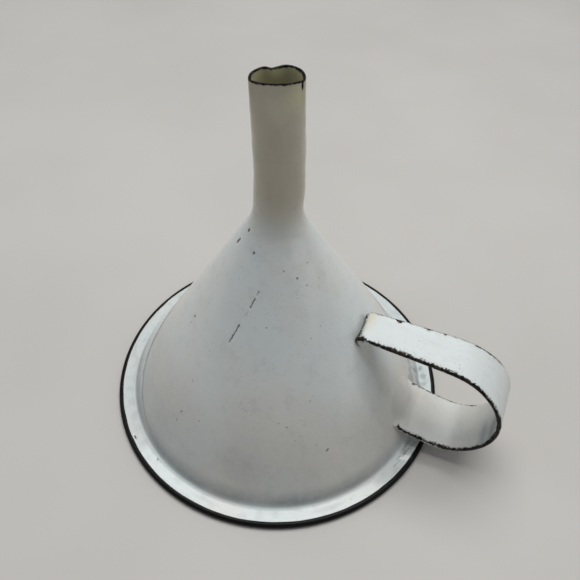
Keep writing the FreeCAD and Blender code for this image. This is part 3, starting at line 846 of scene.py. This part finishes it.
class Nodes:
    """Adds shader nodes to a material with little ceremony."""

    def __init__(self, name):
        self.material = bpy.data.materials.new(name)
        self.material.use_nodes = True
        self.tree = self.material.node_tree
        self.shader = self.tree.nodes["Principled BSDF"]
        self.place = self.add("ShaderNodeTexCoord").outputs["Object"]

    def add(self, kind, settings=None, **inputs):
        node = self.tree.nodes.new(kind)
        for name, value in (settings or {}).items():
            setattr(node, name, value)
        for name, value in inputs.items():
            self.feed(node.inputs[name.replace("_", " ")], value)
        return node

    def feed(self, socket, value):
        if isinstance(value, bpy.types.NodeSocket):
            self.tree.links.new(value, socket)
        else:
            socket.default_value = value

    def maths(self, operation, *values, clamp=False):
        node = self.add("ShaderNodeMath", {"operation": operation, "use_clamp": clamp})
        for socket, value in zip(node.inputs, values):
            self.feed(socket, value)
        return node.outputs[0]

    def times(self, first, second):
        return self.maths("MULTIPLY", first, second)

    def vector(self, operation, *values, output="Vector", scale=None):
        node = self.add("ShaderNodeVectorMath", {"operation": operation})
        for socket, value in zip(node.inputs, values):
            self.feed(socket, value)
        if scale is not None:
            self.feed(node.inputs["Scale"], scale)
        return node.outputs[output]

    def noise(self, size, detail=3, rough=0.55, stretch=(1, 1, 1)):
        """Cloudy noise of 0 to 1 whose lumps are about size millimetres across."""
        place = self.vector("MULTIPLY", self.place, tuple(s / (size * MM) for s in stretch))
        node = self.add(
            "ShaderNodeTexNoise", Vector=place, Scale=1.0, Detail=detail, Roughness=rough
        )
        return node.outputs[0]

    def ramp(self, value, low, high, start=0.0, end=1.0):
        """An even rise from start to end as value goes from low to high."""
        node = self.add("ShaderNodeMapRange", {"interpolation_type": "SMOOTHSTEP"})
        for name, number in (
            ("Value", value), ("From Min", low), ("From Max", high), ("To Min", start), ("To Max", end)
        ):
            self.feed(node.inputs[name], number)
        return node.outputs[0]

    def mix(self, share, first, second):
        """A mix of two colours."""
        node = self.add("ShaderNodeMix", {"data_type": "RGBA"})
        for index, value in ((0, share), (6, colour(first)), (7, colour(second))):
            self.feed(node.inputs[index], value)
        return node.outputs[2]

    def blend(self, share, first, second):
        """A mix of two numbers."""
        node = self.add("ShaderNodeMix", {"data_type": "FLOAT"})
        for index, value in ((0, share), (2, first), (3, second)):
            self.feed(node.inputs[index], value)
        return node.outputs[0]

    def field(self, name):
        return self.add("ShaderNodeAttribute", {"attribute_name": name}).outputs["Fac"]

    def height(self):
        """Height above the rest plane, in millimetres."""
        split = self.add("ShaderNodeSeparateXYZ", Vector=self.place)
        return self.maths("DIVIDE", split.outputs[2], MM)

    def finish(self, base, roughness, bump, **others):
        """Feed the shader. bump is a height in millimetres."""
        node = self.add("ShaderNodeBump", Strength=1.0, Distance=1.0, Height=self.times(bump, MM))
        self.feed(self.shader.inputs["Base Color"], base)
        self.feed(self.shader.inputs["Roughness"], roughness)
        self.feed(self.shader.inputs["Normal"], node.outputs[0])
        for name, value in others.items():
            self.feed(self.shader.inputs[name.replace("_", " ")], value)
        return self.material


class Coat:
    """A surface in layers: its colour, its roughness and its height in millimetres so far."""

    def __init__(self, nodes, base, rough, bump):
        self.nodes, self.base, self.rough, self.bump = nodes, base, rough, bump

    def layer(self, share, tint, rough=None, dip=None):
        """Lay a colour over a share of the surface, with its own roughness, sunk by dip."""
        self.base = self.nodes.mix(share, self.base, tint)
        if rough is not None:
            self.rough = self.nodes.blend(share, self.rough, rough)
        if dip is not None:
            self.bump = self.nodes.maths("SUBTRACT", self.bump, self.nodes.times(share, dip))


def colour(value):
    """A colour with its alpha, or a socket as it is."""
    return value if isinstance(value, bpy.types.NodeSocket) else (*value, 1.0)


WHITE_COOL = (0.70, 0.77, 0.775)
WHITE_WARM = (0.73, 0.715, 0.67)
# the spout's grey: partly grey stain, partly painted shade
SPOUT_GREY = (0.43, 0.40, 0.32)
SPOUT_PALE = tuple(1.35 * part for part in SPOUT_GREY)
# grey of the grey field: dirt, and painted shade in the cone's foot bend and inside the handle's loop
GREY_DIRT_AND_SHADE = (0.25, 0.275, 0.28)
CREAM = (0.70, 0.63, 0.46)
OLIVE = (0.60, 0.595, 0.38)
SMEAR = (0.42, 0.36, 0.25)
SMUDGE = (0.33, 0.33, 0.32)
RUBBED = (0.22, 0.21, 0.20)
SPECK = (0.12, 0.10, 0.09)
PIT = (0.20, 0.195, 0.185)
BRUISE = (0.40, 0.38, 0.34)
BLACK = (0.006, 0.0055, 0.0055)
BURNT = (0.052, 0.040, 0.031)
STEEL_DARK = (0.05, 0.045, 0.045)
RUST = (0.12, 0.075, 0.05)


def mark_distance(nodes, marks):
    """Distance past the nearest chip or scratch, in millimetres, negative inside it."""
    lumps_per_metre, wander, next_to_nothing = 1300.0, 0.6 * MM, 1e-7
    jitter = nodes.add("ShaderNodeTexNoise", Vector=nodes.place, Scale=lumps_per_metre, Detail=2.0)
    away = nodes.vector("SUBTRACT", jitter.outputs["Color"], (0.5, 0.5, 0.5))
    place = nodes.vector("ADD", nodes.place, nodes.vector("SCALE", away, scale=wander))
    nearest = nodes.maths("ADD", 1.0, 0.0)
    for start, end, half_width in marks:
        along = end - start
        # Leaning each place on the last distance makes the renderer work them out one after
        # another. All at once they overrun its memory.
        place = nodes.vector("MULTIPLY_ADD", nearest, (next_to_nothing,) * 3, place)
        from_start = nodes.vector("SUBTRACT", place, tuple(start))
        if along.length > 0:
            scaled = tuple(along / along.length_squared)
            share = nodes.vector("DOT_PRODUCT", from_start, scaled, output="Value")
            share = nodes.maths("ADD", share, 0.0, clamp=True)
            on_line = nodes.vector("SCALE", tuple(along), scale=share)
            distance = nodes.vector("DISTANCE", from_start, on_line, output="Value")
        else:
            distance = nodes.vector("LENGTH", from_start, output="Value")
        nearest = nodes.maths("MINIMUM", nearest, nodes.maths("SUBTRACT", distance, half_width))
    return nodes.maths("DIVIDE", nearest, MM)


def specks(nodes, spacing, radius, share):
    """1 in small round specks: about one cell in 1/share holds one."""
    place = nodes.vector("SCALE", nodes.place, scale=1 / (spacing * MM))
    cells = nodes.add("ShaderNodeTexVoronoi", Vector=place, Scale=1.0)
    split = nodes.add("ShaderNodeSeparateColor", Color=cells.outputs["Color"])
    held = nodes.maths("LESS_THAN", split.outputs[0], share)
    size = nodes.times(split.outputs[1], radius / spacing)
    dot = nodes.ramp(nodes.maths("SUBTRACT", size, cells.outputs["Distance"]), -0.02, 0.02)
    return nodes.times(dot, held)


def clouded_white(nodes):
    """White in warm and cool clouds, warmer low on the cone as painted warm light bounced up from
    the floor, and grey up the spout, partly grey stain and partly painted shade.
    """
    height = nodes.height()
    cloud = nodes.ramp(nodes.noise(30, 3), 0.35, 0.65, 0, 0.5)
    # painted warm bounce light from the floor: warmer low on the cone, fading out in the bend at its
    # foot
    low = nodes.times(nodes.ramp(height, 12, 62, 0.5, 0), nodes.ramp(height, 2.1, 5))
    white = nodes.mix(nodes.maths("ADD", cloud, low), WHITE_COOL, WHITE_WARM)
    streaks = nodes.noise(7, 4, 0.6, stretch=(1, 1, 0.22))
    grey = nodes.mix(streaks, SPOUT_GREY, SPOUT_PALE)
    ragged_height = nodes.maths("ADD", height, nodes.times(streaks, 8))
    # the grey reaches down from the neck onto the cone's top as painted shade
    return nodes.mix(nodes.ramp(ragged_height, NECK - 14, NECK + 9), white, grey)


def lay_dirt(coat):
    """Brown blotches, grey smudges and short rubbed strokes."""
    nodes = coat.nodes
    coat.layer(nodes.ramp(nodes.noise(11, 5, 0.7), 0.60, 0.80, 0, 0.22), SMEAR)
    coat.layer(nodes.ramp(nodes.noise(5, 6, 0.75), 0.48, 0.82, 0, 0.28), SMUDGE, rough=0.55)
    strokes = nodes.ramp(nodes.noise(0.9, 3, 0.6, stretch=(1, 1, 2.2)), 0.60, 0.72, 0, 0.42)
    coat.layer(nodes.times(strokes, nodes.ramp(nodes.noise(12, 2), 0.42, 0.60)), RUBBED)


def lay_stains(coat, stain_colour):
    """Grey, partly dirt and partly painted shade, and stained where the mesh's fields say so, with a
    scatter of dark specks.
    """
    nodes = coat.nodes
    patchy = nodes.ramp(nodes.noise(3, 5, 0.7), 0.25, 0.60, 0.82, 1)
    # the grey field is dirt and painted shade; the stain field is stain
    for field, tint in (("dirt_and_shade", GREY_DIRT_AND_SHADE), ("stain", stain_colour)):
        coat.layer(nodes.times(nodes.field(field), patchy), tint)
    dots = nodes.maths("MAXIMUM", specks(nodes, 9, 0.45, 0.30), specks(nodes, 4, 0.20, 0.25))
    crowded = nodes.ramp(nodes.noise(14, 2), 0.42, 0.58, 0.12, 0.75)
    coat.layer(nodes.times(dots, crowded), SPECK, dip=0.04)


def lay_pits(coat, marks):
    """Shallow pits that dull the enamel."""
    dull = coat.nodes.ramp(mark_distance(coat.nodes, marks), -0.12, 0.16, 0.60, 0)
    coat.layer(dull, PIT, dip=0.05)


def lay_chips(coat, marks):
    """Bare, rusted steel in the chips, and a bruise round each."""
    nodes = coat.nodes
    distance = mark_distance(nodes, marks)
    coat.layer(nodes.ramp(distance, 0.0, 0.4, 0.22, 0), BRUISE)
    metal = nodes.mix(nodes.ramp(nodes.noise(1.2, 4), 0.45, 0.70), STEEL_DARK, RUST)
    coat.layer(nodes.ramp(distance, -0.12, 0.05, 0.9, 0), metal, rough=0.7, dip=0.08)


def lay_black(coat, ragged):
    """Black where the mesh is trimmed, worn to brown in places. Gives where it is black."""
    nodes = coat.nodes
    mottle = nodes.ramp(nodes.noise(0.8, 5, 0.75), 0.3, 0.7, -ragged, ragged)
    edge = nodes.maths("ADD", nodes.field("trim"), mottle)
    coat.layer(nodes.ramp(edge, 0.0, 0.08 + 1.2 * ragged, 0.40, 0), BURNT)
    black = nodes.ramp(edge, -0.06, 0.06, 1, 0)
    wear_starts = 0.66 - min(ragged, 0.2)
    worn = nodes.ramp(nodes.noise(1.6, 5, 0.7), wear_starts, wear_starts + 0.10, 0, 0.8)
    rough = nodes.ramp(nodes.noise(2.2, 3), 0.3, 0.7, 0.22, 0.42)
    coat.layer(black, nodes.mix(worn, BLACK, BURNT), rough=rough, dip=0.04)
    return black


def enamel(name, stain_colour, gloss, ragged, deep=(), faint=()):
    """Fused white enamel over steel: clouded, stained, chipped, black where it is trimmed.

    gloss is its range of roughness and ragged how broken the edge of the black is."""
    nodes = Nodes(name)
    fine, broad = nodes.noise(2.6, 2, 0.4), nodes.noise(9, 2, 0.4)
    bump = nodes.maths("ADD", nodes.times(fine, 0.014), nodes.times(broad, 0.06))
    rough = nodes.ramp(nodes.noise(16, 3), 0.3, 0.7, *gloss)
    coat = Coat(nodes, clouded_white(nodes), rough, bump)
    lay_dirt(coat)
    lay_stains(coat, stain_colour)
    if faint:
        lay_pits(coat, faint)
    if deep:
        lay_chips(coat, deep)
    black = lay_black(coat, ragged)
    shine = nodes.blend(black, 0.5, 0.12)
    return nodes.finish(coat.base, coat.rough, coat.bump, Specular_IOR_Level=shine)


def worn_steel(name, bright, dark):
    """Plain mild steel with a brown bloom, for the metal hidden in the joints."""
    nodes = Nodes(name)
    bloom = nodes.ramp(nodes.noise(1.5, 5, 0.7), 0.42, 0.66)
    base = nodes.mix(bloom, bright, dark)
    rough = nodes.blend(bloom, 0.34, 0.75)
    drawn = nodes.noise(0.5, 3, 0.6, stretch=(1, 1, 0.15))
    bump = nodes.times(nodes.maths("ADD", drawn, bloom), 0.02)
    return nodes.finish(base, rough, bump, Metallic=nodes.blend(bloom, 0.95, 0.35))


def dress(piece, material):
    piece.data.materials.clear()
    piece.data.materials.append(material)


# Stage, lights and camera, in metres

FLOOR_SIZE = 3.0
FLOOR_HEIGHT = -0.00005    # a hair below the rest plane, so that no face lies on another
FLOOR_TINTS = (0.56, 0.545, 0.52), (0.60, 0.585, 0.56)
FILL_TINT = (0.93, 0.95, 1.0)
FILL_STRENGTH = 0.188
BACKDROP_STRENGTH = 0.55

SENSOR = 36.0
LENS = 36.06
CAMERA_PLACE = Vector((56.5, -123.2, 199.5)) * MM
CAMERA_TURN = 22.85    # from facing +Y, towards -X
CAMERA_FALL = 47.71    # how far it looks down
CAMERA_ROLL = 1.16


def build_stage():
    """A pale floor, far wider than the view."""
    bpy.ops.mesh.primitive_plane_add(size=FLOOR_SIZE, location=(0, 0, FLOOR_HEIGHT))
    floor = bpy.context.object
    floor.name = "stage_floor"
    nodes = Nodes("floor_paint")
    base = nodes.mix(nodes.ramp(nodes.noise(140, 3), 0.3, 0.7), *FLOOR_TINTS)
    dress(floor, nodes.finish(base, 0.75, nodes.times(nodes.noise(1.5, 3), 0.03)))


def area_light(name, place, aim, size, power, tint):
    light = bpy.data.lights.new(name, "AREA")
    light.shape = "RECTANGLE"
    light.size, light.size_y = size
    light.energy = power
    light.color = tint
    lamp = bpy.data.objects.new(name, light)
    lamp.location = place
    lamp.rotation_euler = (Vector(aim) - Vector(place)).to_track_quat("-Z", "Y").to_euler()
    bpy.context.scene.collection.objects.link(lamp)


def build_lights():
    """A broad soft light above and behind, and weaker ones from both sides."""
    low, middle = (0, 0, 0.03), (0, 0, 0.06)
    area_light("key", (0.0, 0.25, 0.95), low, size=(0.9, 0.7), power=7.9, tint=(1.0, 0.99, 0.97))
    side = (0.6, 0.6)
    area_light("left", (-0.75, -0.25, 0.45), middle, side, power=0.80, tint=(0.95, 0.97, 1.0))
    area_light("right", (0.80, -0.05, 0.40), middle, side, power=0.42, tint=(1.0, 0.98, 0.95))


def build_fill():
    """An even light from all around, which the camera sees as a paler backdrop."""
    world = bpy.data.worlds.new("fill")
    world.use_nodes = True
    tree = world.node_tree
    background = tree.nodes["Background"]
    background.inputs["Color"].default_value = colour(FILL_TINT)
    seen = tree.nodes.new("ShaderNodeLightPath")
    strength = tree.nodes.new("ShaderNodeMapRange")
    strength.inputs["To Min"].default_value = FILL_STRENGTH
    strength.inputs["To Max"].default_value = BACKDROP_STRENGTH
    tree.links.new(seen.outputs["Is Camera Ray"], strength.inputs["Value"])
    tree.links.new(strength.outputs[0], background.inputs["Strength"])
    bpy.context.scene.world = world


def build_camera():
    """Looks down on the funnel from in front, with the handle to the right."""
    camera = bpy.data.cameras.new("camera")
    camera.sensor_width = SENSOR
    camera.lens = LENS
    camera.clip_start = 0.01
    eye = bpy.data.objects.new("camera", camera)
    turn = Matrix.Rotation(math.radians(CAMERA_TURN), 4, "Z")
    tilt = Matrix.Rotation(math.radians(90 - CAMERA_FALL), 4, "X")
    roll = Matrix.Rotation(math.radians(CAMERA_ROLL), 4, "Z")
    eye.matrix_world = Matrix.Translation(CAMERA_PLACE) @ turn @ tilt @ roll
    bpy.context.scene.collection.objects.link(eye)
    bpy.context.scene.camera = eye


# The whole scene

white = enamel(
    "white_enamel", CREAM, gloss=(0.045, 0.11), ragged=0.03, deep=deep_marks(), faint=faint_marks()
)
spout_white = enamel("spout_enamel", OLIVE, gloss=(0.10, 0.20), ragged=0.20)
handle_white = enamel("handle_enamel", CREAM, gloss=(0.30, 0.42), ragged=0.55)
steel = worn_steel("hidden_steel", bright=(0.52, 0.52, 0.53), dark=(0.13, 0.08, 0.05))

pieces = {
    build_bowl(): white,
    build_spout(): spout_white,
    build_neck_ring(): spout_white,
    build_handle(): handle_white,
}
for piece, material in pieces.items():
    dress(piece, material)
    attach(piece, "root")
for node in ("rim_wire", "handle_welds"):
    dress(frame["nodes"][node], steel)

build_stage()
build_lights()
build_fill()
build_camera()
bpy.context.scene.view_settings.view_transform = "Standard"
